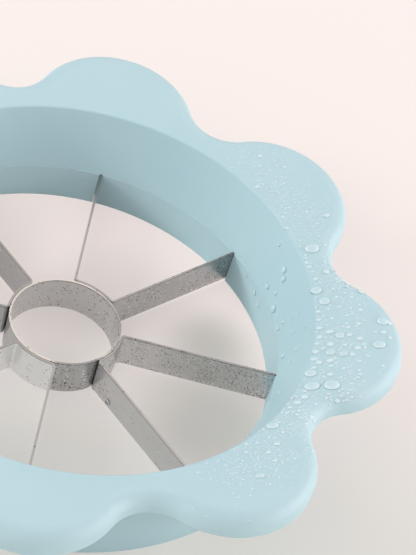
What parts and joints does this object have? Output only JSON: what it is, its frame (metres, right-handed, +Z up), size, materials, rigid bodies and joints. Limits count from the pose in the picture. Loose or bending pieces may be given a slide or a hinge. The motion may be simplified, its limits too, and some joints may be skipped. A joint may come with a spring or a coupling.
{
  "type": "apple slicer",
  "caption": "Flower-shaped push-down apple slicer: scalloped plastic ring with a funnel, holding a star of thin steel blades round a steel core ring.",
  "frame": {"origin": "centre of the foot ring's flat underside, where the slicer stands", "axes": "+Z up along the ring's axis; one blade points along +Y and one along +X, and each petal's middle stands 0.8 degrees anticlockwise of its blade, seen from above"},
  "size_m": [0.1454, 0.1454, 0.0256],
  "materials": {
    "body_plastic": "moulded polypropylene, pale blue, satin",
    "ring_plastic": "moulded polypropylene, pale blue, satin",
    "core_steel": "rolled stainless steel strip, fine grain",
    "blade_steel": "rolled stainless steel strip, fine grain, ground edge"
  },
  "bodies": {
    "root": {"flower_body": "body_plastic", "blade_ring": "ring_plastic", "core_ring": "core_steel", "blade_strip_1": "blade_steel", "blade_strip_2": "blade_steel", "blade_strip_3": "blade_steel", "blade_strip_4": "blade_steel"}
  },
  "joints": []
}
